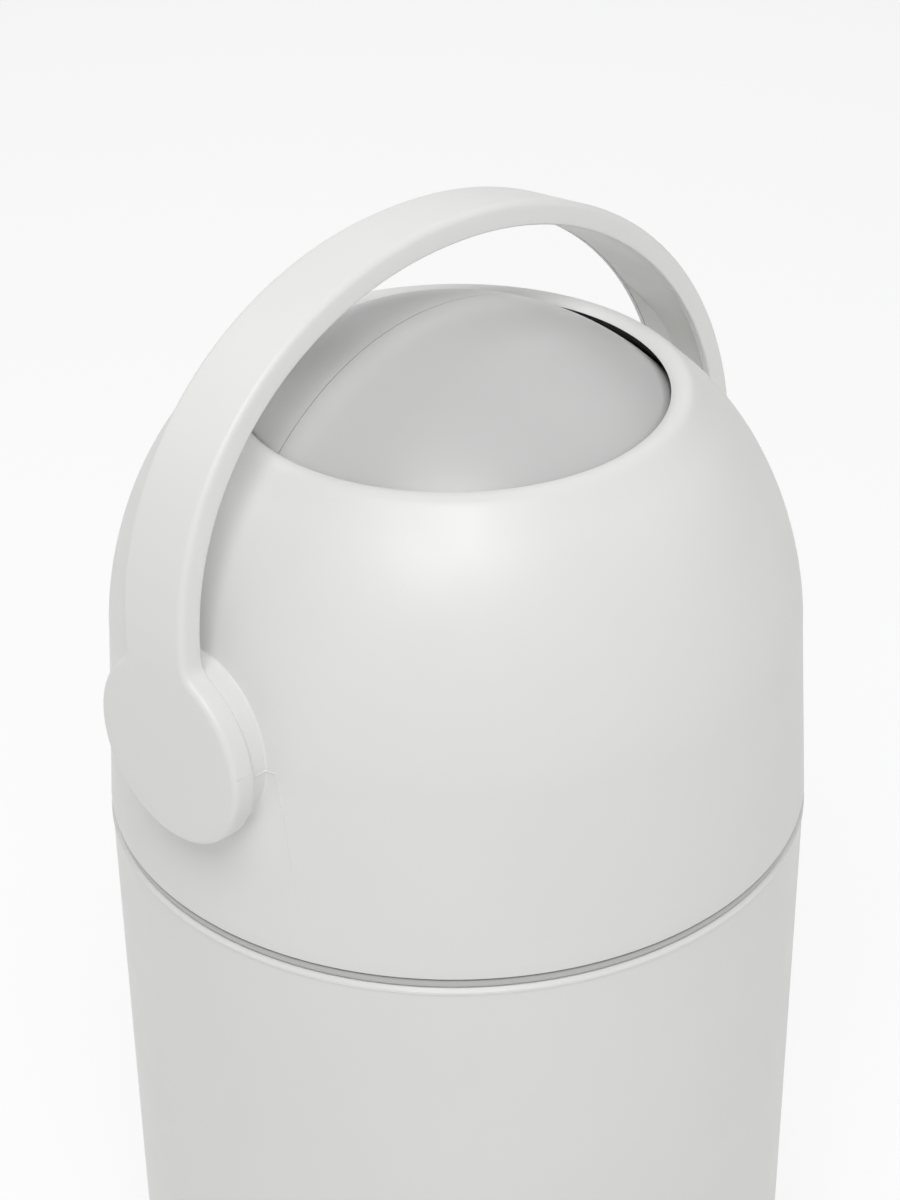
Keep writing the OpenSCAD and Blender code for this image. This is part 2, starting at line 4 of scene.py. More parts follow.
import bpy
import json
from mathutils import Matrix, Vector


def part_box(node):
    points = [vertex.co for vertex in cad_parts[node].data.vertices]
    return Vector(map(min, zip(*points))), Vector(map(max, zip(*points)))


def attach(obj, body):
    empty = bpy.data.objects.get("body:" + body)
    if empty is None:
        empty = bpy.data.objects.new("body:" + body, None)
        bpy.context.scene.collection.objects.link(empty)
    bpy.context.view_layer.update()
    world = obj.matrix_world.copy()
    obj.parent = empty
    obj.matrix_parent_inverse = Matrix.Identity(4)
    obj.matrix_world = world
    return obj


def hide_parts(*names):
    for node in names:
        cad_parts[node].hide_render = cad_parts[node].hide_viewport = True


bl_info = {
    "name": "Nappy bin",
    "version": (1, 0, 0),
    "blender": (4, 5, 0),
    "location": "View3D > Sidebar > Nappy bin",
    "description": "Builds the surfaces, finishes and studio of a nappy bin with a flip handle",
    "category": "Object",
}

import json
import math

import bmesh
import bpy
import numpy as np
from mathutils import Matrix, Vector

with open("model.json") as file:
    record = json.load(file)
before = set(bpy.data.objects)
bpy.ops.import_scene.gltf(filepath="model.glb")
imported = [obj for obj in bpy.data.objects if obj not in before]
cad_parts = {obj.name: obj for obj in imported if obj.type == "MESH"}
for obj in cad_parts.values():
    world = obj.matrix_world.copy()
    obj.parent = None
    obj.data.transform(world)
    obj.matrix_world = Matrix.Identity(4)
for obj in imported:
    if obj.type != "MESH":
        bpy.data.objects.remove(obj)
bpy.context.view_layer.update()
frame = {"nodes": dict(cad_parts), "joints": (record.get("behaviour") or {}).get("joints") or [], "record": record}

JOINTS = {joint["name"]: joint for joint in frame["joints"]}
SEAM_Z, LID_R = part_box("dome")[0][2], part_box("dome")[1][0]
BUCKET_R, _, BUCKET_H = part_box("bucket")[1]
PIVOT_Z = JOINTS["handle_turn"]["pos_m"][2]
HINGE_Y = JOINTS["lid_open"]["pos_m"][1]
TILT = math.asin(JOINTS["piston_slide"]["axis"][2])
PIVOT_H = PIVOT_Z - SEAM_Z
HANDLE_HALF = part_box("handle")[1][0]
SLOTS = {part["node"]: part["material_slot"] for part in frame["record"]["subparts"]}
MM = 0.001
join = np.concatenate
FULL_TURN = 2 * math.pi
# the angle about Z that points to the back, where the hinge is
BACK = math.pi / 2
# how far outside the mouth the lip starts
LIP_START = 20 * MM
# points nearer than this are merged; edges shorter than this are dissolved
DOUBLES, SLIVERS = 3e-6, 1e-7

# fits to the solids: where the bosses that hold the bushes start and end, and their wall
BOSS_ENDS, BOSS_WALL = (121.2 * MM, 134 * MM), 9 * MM
# heights above the axis: the foot of the rim seal, its lower edge on the ball, its seat
SEAL_FOOT, SEAL_EDGE, SEAT_FOOT = 86.4 * MM, 88.6 * MM, 86.5 * MM
# the lid's plate: its hole, half the width of its notch, and its rib's two radii
PLATE_BORE, PLATE_NOTCH, RIB_RADII = 100.03 * MM, 41 * MM, (115 * MM, 117 * MM)
# half the gaps that the gasket and the bag ring leave for the hinge, and their widths
GASKET_GAP, HINGE_GAP, GASKET_WIDTH, FLANGE_WIDTH = 42 * MM, 38 * MM, 2.55 * MM, 13.3 * MM
# the ball's hub: bore and radius
HUB_BORE, HUB_R = 12.03 * MM, 20 * MM
# how deep the pads' sides run into the dome, half the gap between the ball's halves inside, and
# the rounding of the lip of the ball's well
PAD_ROOT, FACE_GAP, LIP_ROUND = 0.6 * MM, 0.02 * MM, 0.6 * MM
# the piston: length, wall, where the wipers' grooves start and their depth
PISTON_LENGTH, PISTON_WALL = 55.8 * MM, 4.2 * MM
GROOVES, GROOVE_DEPTH = (8 * MM, 44 * MM), 1.2 * MM
# the ridges: half their width, how deep their feet lie, and the drops where they start to fade
# and where they end
RIDGE_HALF, RIDGE_ROOT, RIDGE_FADE, RIDGE_END = 0.3 * MM, 0.3 * MM, 20 * MM, 60 * MM
# half the side of the studio's floor, in metres
FLOOR_HALF = 8.0

# the range in which most of the noise lies
NOISE_LOW, NOISE_HIGH = 0.3, 0.7


# ---- settings

def number(name, description, default, **kind):
    """A number that the sidebar shows."""
    return bpy.props.FloatProperty(name=name, description=description, default=default, **kind)


def length(name, description, default):
    """A size in metres."""
    return number(name, description, default, unit="LENGTH", precision=4)


def colour(name, description, default):
    """A colour, linear."""
    return bpy.props.FloatVectorProperty(
        name=name, description=description, default=default, subtype="COLOR", size=3, min=0, max=1)


class BinSizes(bpy.types.PropertyGroup):
    """The sizes that shape the bin's surfaces."""

    shoulder_r: length("Shoulder radius", "Outer radius where the dome starts to close", 0.1358)
    shoulder_h: length("Shoulder height", "Height of the shoulder above the lid's edge", 0.0748)
    dome_reach: length("Dome reach", "How far the dome's curve runs inwards", 0.0628)
    dome_rise: length("Dome rise", "How far the dome's curve rises", 0.1024)
    dome_power: number("Dome power", "Exponent of the dome's curve", 1.775)
    dome_wall: length("Dome wall", "Wall thickness of the dome", 0.0026)
    mouth_r: length("Mouth radius", "Radius of the mouth in the dome", 0.0815)
    mouth_h: length("Mouth height", "Height of the mouth's edge above the lid's edge", 0.1725)
    pad_r: length("Pad radius", "Radius of the pads beside the handle", 0.035)
    pad_face: length("Pad face", "Distance of the pads' faces from the middle", 0.1384)
    pad_fillet: length("Pad fillet", "Hollow curve where a pad meets the dome", 0.0005)
    ridge_h: length("Ridge height", "Height of the mould's fine ridges", 0.00025)
    ridge_slope: number("Ridge slope", "Slope of the ridges down the dome", 0.175)
    bush_r: length("Bush radius", "Outer radius of the axle's bush", 0.01508)
    notch_half: length("Notch half width", "Half the width of the hinge's notch", 0.042)
    notch_h: length("Notch height", "Height of the hinge's notch", 0.010)
    bucket_wall: length("Bucket wall", "Wall thickness of the bucket", 0.0028)
    foot_r: length("Foot radius", "Outer radius at the bucket's foot", 0.1377)
    foot_round: length("Foot rounding", "Radius of the bucket's lower corner", 0.007)
    floor_lift: length("Floor lift", "Height of the floor above the foot ring", 0.004)
    rim_bead: length("Rim bead", "How far the bead at the rim stands out", 0.0004)
    rim_step: length("Rim step", "How far the bead's top lies under the bag ring", 0.0007)
    band_w: length("Band width", "Width of the handle's band", 0.033)
    band_t: length("Band thickness", "Thickness of the handle's band", 0.0094)
    disc_r: length("Disc radius", "Radius of the handle's round ends", 0.0376)
    leg_h: length("Leg height", "Height above the axis at which the arch starts", 0.0322)
    arch_rise: length("Arch rise", "Rise of the arch above its legs", 0.128)
    arch_power: number("Arch power", "Exponent of the arch", 2.06)
    neck_r: length("Neck radius", "Hollow curve between band and round end", 0.009)
    edge_r: length("Edge rounding", "Rounding of the handle's outer edges", 0.0025)
    inner_edge_r: length("Inner edge rounding", "Rounding of the handle's inner edges", 0.0008)
    cover_border: length("Cover border", "Border round the handle's cover", 0.0022)
    cover_t: length("Cover thickness", "Thickness of the handle's cover", 0.002)
    cover_gap: length("Cover gap", "Gap round the handle's cover", 0.0004)
    cover_dip: length("Cover dip", "How deep the cover dips towards its two ends", 0.006)
    dip_run: length("Dip run", "Run from the axis along the handle to the dip", 0.106)
    dip_side: length("Dip side", "Width of the dip's sloping sides", 0.006)
    cover_from: number(
        "Cover start", "Angle along the arch to the cover", math.radians(4.5), subtype="ANGLE")
    ball_off: length("Ball offset", "Distance of the ball's side curve from the axis", 0.0017)
    ball_arc: length("Ball arc", "Radius of the ball's side curve", 0.1206)
    ball_end: length("Ball end", "Distance of the ball's flat ends from the middle", 0.112)
    ball_line: length("Parting line", "Half the gap at the ball's parting line", 0.00017)
    ball_line_deep: length("Parting line depth", "Depth of the gap at the parting line", 0.0015)
    well_r: length("Well radius", "Radius of the well through the ball", 0.068)
    well_lip: length("Well lip", "How far the lip at each mouth stands in", 0.003)
    well_half: length("Well half length", "Distance of the lips from the middle", 0.0975)
    piston_r: length("Piston radius", "Radius of the piston", 0.0675)


class BinColours(bpy.types.PropertyGroup):
    """The colours of the bin's materials."""

    shell: colour("Shell", "Off-white of the bucket, dome and handle", (0.765, 0.765, 0.752))
    ball: colour("Ball", "Light grey of the rotor", (0.555, 0.555, 0.553))
    ring: colour("Ring", "Mid grey of the bag ring, hinge and piston", (0.51, 0.51, 0.498))
    seal: colour("Seal", "Near black of the rubber seals", (0.022, 0.022, 0.024))
    nylon: colour("Nylon", "Natural nylon of the axles and bushes", (0.72, 0.70, 0.63))
    steel: colour("Steel", "Zinc-plated steel", (0.60, 0.61, 0.63))
    floor: colour("Floor", "The studio floor", (0.27, 0.27, 0.272))


# ---- surfaces

def power_arc(angle, power):
    """Cosine and sine of an angle, each raised to two over the power with its sign kept: the
    two coordinates of a superellipse of half sizes one."""
    c, s = np.cos(angle), np.sin(angle)
    c = np.where(np.abs(c) < 1e-12, 0, c)
    return np.sign(c) * np.abs(c) ** (2 / power), np.sign(s) * np.abs(s) ** (2 / power)


def lengths(rows):
    """The length of each row, as a column."""
    return np.linalg.norm(rows, axis=1, keepdims=True)


def rounded(points, radii, steps):
    """A closed outline with rounded corners: each corner gives way to the arc that touches
    both its edges, found by turning from one touching point to the other about the centre."""
    p = np.asarray(points, float)
    r = np.maximum(np.broadcast_to(radii, len(p)), 1e-7)[:, None]
    back, ahead = np.roll(p, 1, 0) - p, np.roll(p, -1, 0) - p
    back_len, ahead_len = lengths(back), lengths(ahead)
    back, ahead = back / back_len, ahead / ahead_len
    half = 0.5 * np.arccos(np.clip((back * ahead).sum(1, keepdims=True), -1, 1))
    r = np.minimum(r, 0.49 * np.minimum(back_len, ahead_len) * np.tan(half))
    middle = back + ahead
    centre = p + middle / lengths(middle) * (r / np.sin(half))
    start = (p + back * (r / np.tan(half)) - centre) / r
    end = (p + ahead * (r / np.tan(half)) - centre) / r
    turn, t = np.pi - 2 * half, np.linspace(0, 1, steps)
    a, b = np.sin((1 - t) * turn) / np.sin(turn), np.sin(t * turn) / np.sin(turn)
    arc = a[..., None] * start[:, None] + b[..., None] * end[:, None]
    return (centre[:, None] + r[..., None] * arc).reshape(-1, 2)


def bar(inner, outer, low, high, radii, steps):
    """A closed oblong outline with rounded corners, from its lower inner corner on."""
    return rounded([(inner, low), (outer, low), (outer, high), (inner, high)], radii, steps)


def dense(outline, spacing):
    """The same closed outline with extra points, so that no stretch is longer than the spacing."""
    ahead = np.roll(outline, -1, 0)
    gaps = lengths(ahead - outline)[:, 0]
    counts = np.maximum(np.ceil(gaps / spacing).astype(int), 1)
    base = np.repeat(np.arange(len(outline)), counts)
    first = np.repeat(np.cumsum(counts) - counts, counts)
    share = (np.arange(len(base)) - first) / counts[base]
    return outline[base] + share[:, None] * (ahead[base] - outline[base])


def grid(*axes):
    """Points from their coordinates, spread to a common shape."""
    return np.stack(np.broadcast_arrays(*axes), -1)


def polar(radius, angle, height):
    """Points at a radius and an angle about Z: radius times cosine, radius times sine, height."""
    return grid(radius * np.cos(angle), radius * np.sin(angle), height)


def turned(profile, angles):
    """A profile of (radius, height) carried round Z: one row of points per angle."""
    return polar(profile[:, 0], angles[:, None], profile[:, 1])


def beside(*tables):
    """Tables of numbers set side by side, each given as many rows as the longest has."""
    tables = [np.atleast_2d(table) for table in tables]
    rows = max(map(len, tables))
    return join([np.broadcast_to(table, (rows, table.shape[1])) for table in tables], 1)


def angles_round(count, extra=()):
    """Evenly spaced angles round a full turn, with a few more put in where an edge needs them."""
    even = np.linspace(0, FULL_TURN, count, endpoint=False)
    return np.unique(join([even, np.mod(extra, FULL_TURN)]))


def hoop(section):
    """A closed section carried round Z, as a grid for add_piece."""
    return turned(section, angles_round(240)), True, True


def angles_with_notch(count, half, step):
    """Angles round a full turn, with one a step inside and one a step outside both edges of a
    notch at the back, and whether each angle lies within the notch."""
    edges = [BACK + side * (half + off) for side in (-1, 1) for off in (-step, step)]
    angles = angles_round(count, edges)
    return angles[:, None], (np.abs(angles - BACK) < half)[:, None]


def about_x(points):
    """Turns a surface made round Z so that its axis is X, then lifts it to the handle's axis."""
    x, y, z = np.moveaxis(points, -1, 0)
    return grid(z, y, PIVOT_Z - x)


def leaning(points):
    """A surface of the rotor, from its own upright frame about the axis to its place at rest."""
    x, y, z = np.moveaxis(points, -1, 0)
    c, s = math.cos(TILT), math.sin(TILT)
    return grid(x, y * c + z * s, PIVOT_Z - y * s + z * c)


def capped(points):
    """A surface whose rows are closed outlines, with both ends closed to their middles."""
    middles = np.broadcast_to(points.mean(1, keepdims=True), points.shape)
    return join([middles[:1], points, middles[-1:]])


def ridge(path, normals, height):
    """A fine ridge laid along a path: a flat-topped section whose foot is sunk into the surface,
    set across the path by the cross product of its direction and the surface's normal."""
    along = np.gradient(path, axis=0)
    across = np.cross(along, normals)
    across, normals = across / lengths(across), normals / lengths(normals)
    foot, top = path - RIDGE_ROOT * normals, path + height[:, None] * normals
    foot_half, top_half = RIDGE_HALF * across, 0.4 * RIDGE_HALF * across
    return capped(np.stack(
        [foot - foot_half, top - top_half, top + top_half, foot + foot_half], 1))


def block(low, high, rounding):
    """A box with rounded upright edges: a rounded outline carried from the low to the high face,
    drawn in a little at both, and closed there."""
    (x0, y0, z0), (x1, y1, z1) = low, high
    base = bar(x0, x1, y0, y1, rounding, 5)
    centre = base.mean(0)
    turn = np.linspace(0, math.pi / 2, 4)
    inset = join([rounding * (1 - np.sin(turn)), rounding * (1 - np.cos(turn))])
    height = join([z0 + rounding * (1 - np.cos(turn)), z1 - rounding * (1 - np.sin(turn))])
    reach = np.array([x1 - x0, y1 - y0]) / 2
    scale = 1 - inset[:, None] / reach
    flat = centre + (base - centre)[None] * scale[:, None, :]
    rows = join([flat, np.broadcast_to(height[:, None, None], (*flat.shape[:2], 1))], -1)
    return capped(rows), False, True


def added(name, data):
    """A new object in the scene that holds the data."""
    thing = bpy.data.objects.new(name, data)
    bpy.context.scene.collection.objects.link(thing)
    return thing


def add_piece(name, surfaces, body, node, sharp=32):
    """Makes one piece from grids of points, in place of a node and with its slot's finish. Each
    grid is (points, rows closed, columns closed). Doubles are merged, so seams and poles close,
    and faces are turned outwards."""
    corners, faces, start = [], [], 0
    for points, rows_closed, columns_closed in surfaces:
        rows, columns = points.shape[:2]
        index = np.arange(rows * columns).reshape(rows, columns) + start
        index = np.pad(index, ((0, int(rows_closed)), (0, int(columns_closed))), "wrap")
        quads = np.stack([index[:-1, :-1], index[1:, :-1], index[1:, 1:], index[:-1, 1:]], -1)
        faces.append(quads.reshape(-1, 4))
        corners.append(points.reshape(-1, 3))
        start += rows * columns
    mesh = bpy.data.meshes.new(name)
    mesh.from_pydata(join(corners).tolist(), [], join(faces).tolist())
    work = bmesh.new()
    work.from_mesh(mesh)
    bmesh.ops.remove_doubles(work, verts=work.verts, dist=DOUBLES)
    bmesh.ops.dissolve_degenerate(work, edges=work.edges, dist=SLIVERS)
    bmesh.ops.recalc_face_normals(work, faces=work.faces)
    work.to_mesh(mesh)
    work.free()
    mesh.shade_smooth()
    mesh.set_sharp_from_angle(angle=math.radians(sharp))
    mesh.materials.append(finish(SLOTS[node]))
    piece = added(name, mesh)
    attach(piece, body)
    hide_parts(node)


# ---- finishes

class Finish:
    """A procedural material in the making, laid out on its piece's Object coordinates."""

    def __init__(self, name):
        self.material = bpy.data.materials.new(name)
        self.material.use_nodes = True
        self.tree = self.material.node_tree
        self.shader = self.tree.nodes["Principled BSDF"].inputs
        self.place = self.tree.nodes.new("ShaderNodeTexCoord").outputs["Object"]

    def fill(self, inputs, settings):
        """Fills inputs by name: a socket is linked, anything else becomes the input's value."""
        for name, value in settings.items():
            if isinstance(value, bpy.types.NodeSocket):
                self.tree.links.new(value, inputs[name])
            else:
                inputs[name].default_value = value

    def node(self, kind, output, settings):
        """Adds a node, fills its inputs and gives one of its outputs."""
        node = self.tree.nodes.new("ShaderNode" + kind)
        self.fill(node.inputs, settings)
        return node.outputs[output]

    def noise(self, scale, detail=2.0, rough=0.5, place=None):
        """Smooth noise over the piece; scale is in features per metre."""
        return self.node("TexNoise", "Fac", {
            "Vector": place or self.place, "Scale": scale, "Detail": detail, "Roughness": rough})

    def spread(self, value, low, high):
        """Stretches noise to run from low to high."""
        return self.node("MapRange", "Result", {
            "Value": value, "From Min": NOISE_LOW, "From Max": NOISE_HIGH,
            "To Min": low, "To Max": high})

    def tinted(self, value, base, strength):
        """The base colour, made a little darker and lighter by noise."""
        ramp = self.tree.nodes.new("ShaderNodeValToRGB")
        ends = ((NOISE_LOW, 1 - strength), (NOISE_HIGH, 1 + strength))
        for element, (position, factor) in zip(ramp.color_ramp.elements, ends):
            element.position = position
            element.color = (*(min(c * factor, 1) for c in base), 1)
        self.tree.links.new(value, ramp.inputs["Fac"])
        return ramp.outputs["Color"]

    def bumped(self, height, distance, strength=1.0, **over):
        """Raises the surface by a height value times the distance, over another bump if given."""
        return self.node("Bump", "Normal", {
            "Height": height, "Distance": distance, "Strength": strength, **over})


def moulded_plastic(look, base, roughness, grain, depth, mottle, swing):
    """Moulded plastic with a fine spark-eroded skin. The colour and the gloss drift a little
    over the piece, and the surface sags faintly."""
    skin = look.bumped(look.noise(grain, 3.0, 0.6), depth)
    look.fill(look.shader, {
        "Base Color": look.tinted(look.noise(9.0, 3.0), base, mottle),
        "Roughness": look.spread(look.noise(60.0, 3.0), roughness - swing, roughness + swing),
        "Normal": look.bumped(look.noise(14.0, 1.0), 0.0004, 0.25, Normal=skin),
        "IOR": 1.49})


def seal_rubber(look, base):
    """Matt rubber with a dusty bloom: fine noise roughens it and lightens it a little."""
    bloom = look.noise(140.0, 4.0)
    look.fill(look.shader, {
        "Base Color": look.tinted(bloom, base, 0.35),
        "Roughness": look.spread(bloom, 0.62, 0.78),
        "Normal": look.bumped(look.noise(2200.0), 0.00004)})


def plated_steel(look, base):
    """Zinc-plated steel: metal with cloudy gloss and fine drawn scratches along X."""
    cloud = look.noise(180.0, 4.0)
    drawn = look.node("Mapping", "Vector", {"Vector": look.place, "Scale": (0.1, 1, 1)})
    look.fill(look.shader, {
        "Metallic": 1.0,
        "Base Color": look.tinted(cloud, base, 0.08),
        "Roughness": look.spread(cloud, 0.22, 0.38),
        "Normal": look.bumped(look.noise(3000.0, place=drawn), 0.00002)})


# the finish of each slot: its name, maker and colour; for plastics also the roughness, the grain
# in features per metre, its height, and how far the colour and the roughness drift
FINISHES = {
    "shell_white": ("shell_plastic", moulded_plastic, "shell", 0.42, 1500, 0.00003, 0.012, 0.04),
    "rotor_grey": ("ball_plastic", moulded_plastic, "ball", 0.33, 1100, 0.000025, 0.02, 0.03),
    "ring_grey": ("ring_plastic", moulded_plastic, "ring", 0.40, 1500, 0.00003, 0.012, 0.04),
    "nylon": ("nylon_plastic", moulded_plastic, "nylon", 0.45, 900, 0.00003, 0.012, 0.04),
    "seal_dark": ("seal_rubber", seal_rubber, "seal"),
    "steel": ("plated_steel", plated_steel, "steel"),
}


def finish(slot):
    """The finish of a slot, made when it is first asked for."""
    name, make, shade, *numbers = FINISHES[slot]
    if name not in bpy.data.materials:
        make(Finish(name), getattr(bpy.context.scene.bin_colours, shade), *numbers)
    return bpy.data.materials[name]


# ---- lid

def dome_curve(sizes, wall, steps, end_r):
    """The dome's curve from its shoulder up to a radius: a superellipse quarter, whose radius is
    the centre's plus reach times the power of the cosine, and whose height is the shoulder's plus
    rise times the power of the sine. The wall is taken off both half sizes."""
    reach, rise = sizes.dome_reach - wall, sizes.dome_rise - wall
    centre = sizes.shoulder_r - sizes.dome_reach
    end = math.acos(((end_r - centre) / reach) ** (sizes.dome_power / 2))
    c, s = power_arc(np.linspace(0, end, steps), sizes.dome_power)
    return grid(centre + reach * c, sizes.shoulder_h + rise * s)


def outer_radius(sizes, height):
    """The dome's outer radius at heights above its edge, read off its curve."""
    radii, heights = join([[(LID_R, 0)], dome_curve(sizes, 0, 120, sizes.mouth_r + 11 * MM)]).T
    return np.interp(height, heights, radii)


def lip_curve(sizes):
    """The lip: from the dome's curve a nearly straight cone, a broad arched band and a roll over
    the mouth's edge, as a smooth line through points given as distances from that edge."""
    bend = dome_curve(sizes, 0, 70, sizes.mouth_r + LIP_START)[-2:]
    beyond = np.array([
        (17.0, -7.43), (14.0, -4.45), (11.9, -2.35), (10.7, -1.2), (9.8, -0.42), (8.9, 0.22),
        (7.8, 0.7), (6.6, 0.98), (5.3, 1.1), (4.0, 1.0), (2.8, 0.75), (1.7, 0.3),
        (0.95, -0.2), (0.5, -0.5), (0.45, -0.75)]) * MM
    return smooth_line(join([bend, beyond + (sizes.mouth_r, sizes.mouth_h)]), 90)


def smooth_line(knots, steps):
    """A smooth line through points, from the second on: between two knots it is the cubic whose
    slope at each knot is that from the knot before to the knot after, along the summed length."""
    gaps = lengths(np.diff(knots, axis=0))[:, 0]
    at = join([[0], np.cumsum(gaps)])
    slope = np.gradient(knots, axis=0) / np.gradient(at)[:, None]
    t = np.linspace(at[1], at[-1], steps)
    k = np.clip(np.searchsorted(at, t, side="right") - 1, 0, len(gaps) - 1)
    f, gap = ((t - at[k]) / gaps[k])[:, None], gaps[k][:, None]
    return ((2 * f**3 - 3 * f**2 + 1) * knots[k] + (f**3 - 2 * f**2 + f) * gap * slope[k]
            + (-2 * f**3 + 3 * f**2) * knots[k + 1] + (f**3 - f**2) * gap * slope[k + 1])


def dome_surface(sizes):
    """The dome's wall: its closed profile carried round, with the lower edge lifted by the
    notch's height wherever the angle lies within the hinge's notch."""
    wall, shoulder, mouth = sizes.dome_wall, sizes.shoulder_h, sizes.mouth_r
    side = lambda foot, h: grid(foot + (sizes.shoulder_r - LID_R) * h / shoulder, h)
    corner = bar(LID_R - wall, LID_R, 0, 4 * MM, [0.2 * MM, 0.6 * MM, 0, 0], 5)[:10]
    outside = side(LID_R, np.linspace(0.6 * MM, shoulder, 14)[1:-1])
    inside = side(LID_R - wall, np.linspace(shoulder, 0.4 * MM, 12)[1:])
    outer = dome_curve(sizes, 0, 70, mouth + LIP_START)
    inner = dome_curve(sizes, wall, 50, mouth + 10 * MM)[::-1]
    top, foot = sizes.mouth_h - 0.85 * MM, PIVOT_H + SEAT_FOOT
    seat = [(mouth + 0.6 * MM, top), (mouth + 7 * MM, top), (mouth + 7 * MM, foot),
            (mouth + 9 * MM, foot)]
    profile = join([corner, outside, outer, lip_curve(sizes)[1:], seat, inner, inside])
    angles, inside_notch = angles_with_notch(360, math.asin(sizes.notch_half / LID_R), 0.0012)
    radius, height = profile.T
    lift = np.where(inside_notch, sizes.notch_h, 0.0)
    raised = height + lift * np.clip(1 - height / shoulder, 0, 1)
    drawn_in = (sizes.shoulder_r - LID_R) * (raised - height) / shoulder
    return polar(radius + drawn_in, angles, SEAM_Z + raised), True, True


def pad_surface(sizes, side):
    """One of the pads that the handle turns against: a flat ring with a rounded rim, whose side
    runs down to the dome and flares there in a quarter circle. Side is 1 for right, -1 for left."""
    turn = np.linspace(0, FULL_TURN, 128, endpoint=False)[:, None]
    rim = np.linspace(0, math.pi / 2, 6)
    rim_r, face, flare = 1 * MM, sizes.pad_face, sizes.pad_fillet
    ring_r = join([[sizes.bush_r] * 2, sizes.pad_r - rim_r + rim_r * np.sin(rim)])
    ring_u = join([[face - 8 * MM, face], face - rim_r + rim_r * np.cos(rim)])
    rise = join([np.full(4, flare), flare * np.cos(np.linspace(0, math.pi / 2, 5)[1:])])
    side_r = sizes.pad_r + flare - np.sqrt(np.maximum(flare**2 - (flare - rise) ** 2, 0))
    side_r = np.append(side_r, sizes.pad_r + flare)
    height = PIVOT_H + side_r * np.sin(turn)
    on_dome = np.sqrt(outer_radius(sizes, height) ** 2 - (side_r * np.cos(turn)) ** 2)
    above = join([np.linspace(1, 0, 4), np.zeros(5)])
    top_gap = face - rim_r - (on_dome[:, :1] + flare)
    side_u = on_dome + np.append(rise, -PAD_ROOT) + above * top_gap
    r, u = beside(ring_r, side_r), beside(ring_u, side_u)
    return grid(side * u, r * np.cos(turn), PIVOT_Z + r * np.sin(turn)), True, True


def witness_ridge(sizes, x_side, y_side):
    """The fine ridge that the mould's insert leaves beside a pad: level with the axis along the
    pad's side and a little of the dome, then down the dome, where it leans away from the pad by
    a slope times the drop and its height fades."""
    start = sizes.pad_r + 4 * MM
    over = np.linspace(sizes.pad_r + 0.8 * sizes.pad_fillet, start, 8)
    drop = np.linspace(0, RIDGE_END, 40)[1:]
    y = join([np.full(6, sizes.pad_r), over, start + sizes.ridge_slope * drop])
    z = PIVOT_H - join([np.zeros(6 + 8), drop])
    x = np.sqrt(outer_radius(sizes, z) ** 2 - y**2)
    x[:6] = np.linspace(sizes.pad_face - 1 * MM, sizes.pad_face - 6.4 * MM, 6)
    normals = grid(x, y, 0.0)
    normals[:6] = (0, 1, 0)
    left = z - PIVOT_H + RIDGE_END
    height = sizes.ridge_h * np.clip(left / (RIDGE_END - RIDGE_FADE), 0, 1)
    path, place = grid(x, y, SEAM_Z + z), (x_side, y_side, 1)
    return ridge(path * place, normals * place, height), False, True


class BIN_OT_dome(bpy.types.Operator):
    """Makes the lid's dome with its rolled lip, pads and the seat of its hinge"""

    bl_idname = "nappy_bin.dome"
    bl_label = "Dome"

    def execute(self, context):
        sizes = context.scene.bin_sizes
        surfaces = [dome_surface(sizes)]
        for side in (-1, 1):
            surfaces += [witness_ridge(sizes, side, y_side) for y_side in (-1, 1)]
            surfaces.append(pad_surface(sizes, side))
            boss = bar(sizes.bush_r, sizes.bush_r + BOSS_WALL, *BOSS_ENDS, 0.4 * MM, 3)
            boss = about_x(turned(boss, angles_round(72))) * (side, 1, 1)
            surfaces.append((boss, True, True))
        low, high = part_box("hinge_leaf")
        seat = block((low[0] - 2 * MM, HINGE_Y - 1.8 * MM, SEAM_Z + 15 * MM),
                     (high[0] + 2 * MM, HINGE_Y + 0.4 * MM, SEAM_Z + 50 * MM), 0.6 * MM)
        add_piece("dome_shell", [*surfaces, seat], "lid", "dome")
        return {"FINISHED"}


def notched_ring(inner_r, outer_r, low, high, notch_half, notch_y, rounding):
    """A flat ring whose outer edge is cut straight across at notch_y within the notch's width:
    its radius there is notch_y over the sine of the angle."""
    angles, inside_notch = angles_with_notch(300, math.asin(notch_half / outer_r), 0.0008)
    cut = np.where(inside_notch, notch_y / np.maximum(np.sin(angles), 0.1), outer_r)
    full, width = outer_r - inner_r, cut - inner_r
    across, height = bar(0, full, low, high, rounding, 4).T
    edge = np.where(across / full > 0.5, across - full + width, across)
    return polar(inner_r + np.minimum(edge, width), angles, height), True, True


def broken_ring(section, half_gap):
    """A ring of any section with a gap of even width at the back: each point of the section runs
    from the angle whose sine reaches the gap's edge all the way round to the other edge."""
    radius, height = section.T
    start = np.arcsin(half_gap / radius)
    share = np.linspace(0, 1, 260)[:, None]
    angle = BACK + start + share * (FULL_TURN - 2 * start)
    return capped(polar(radius, angle, height)), False, True


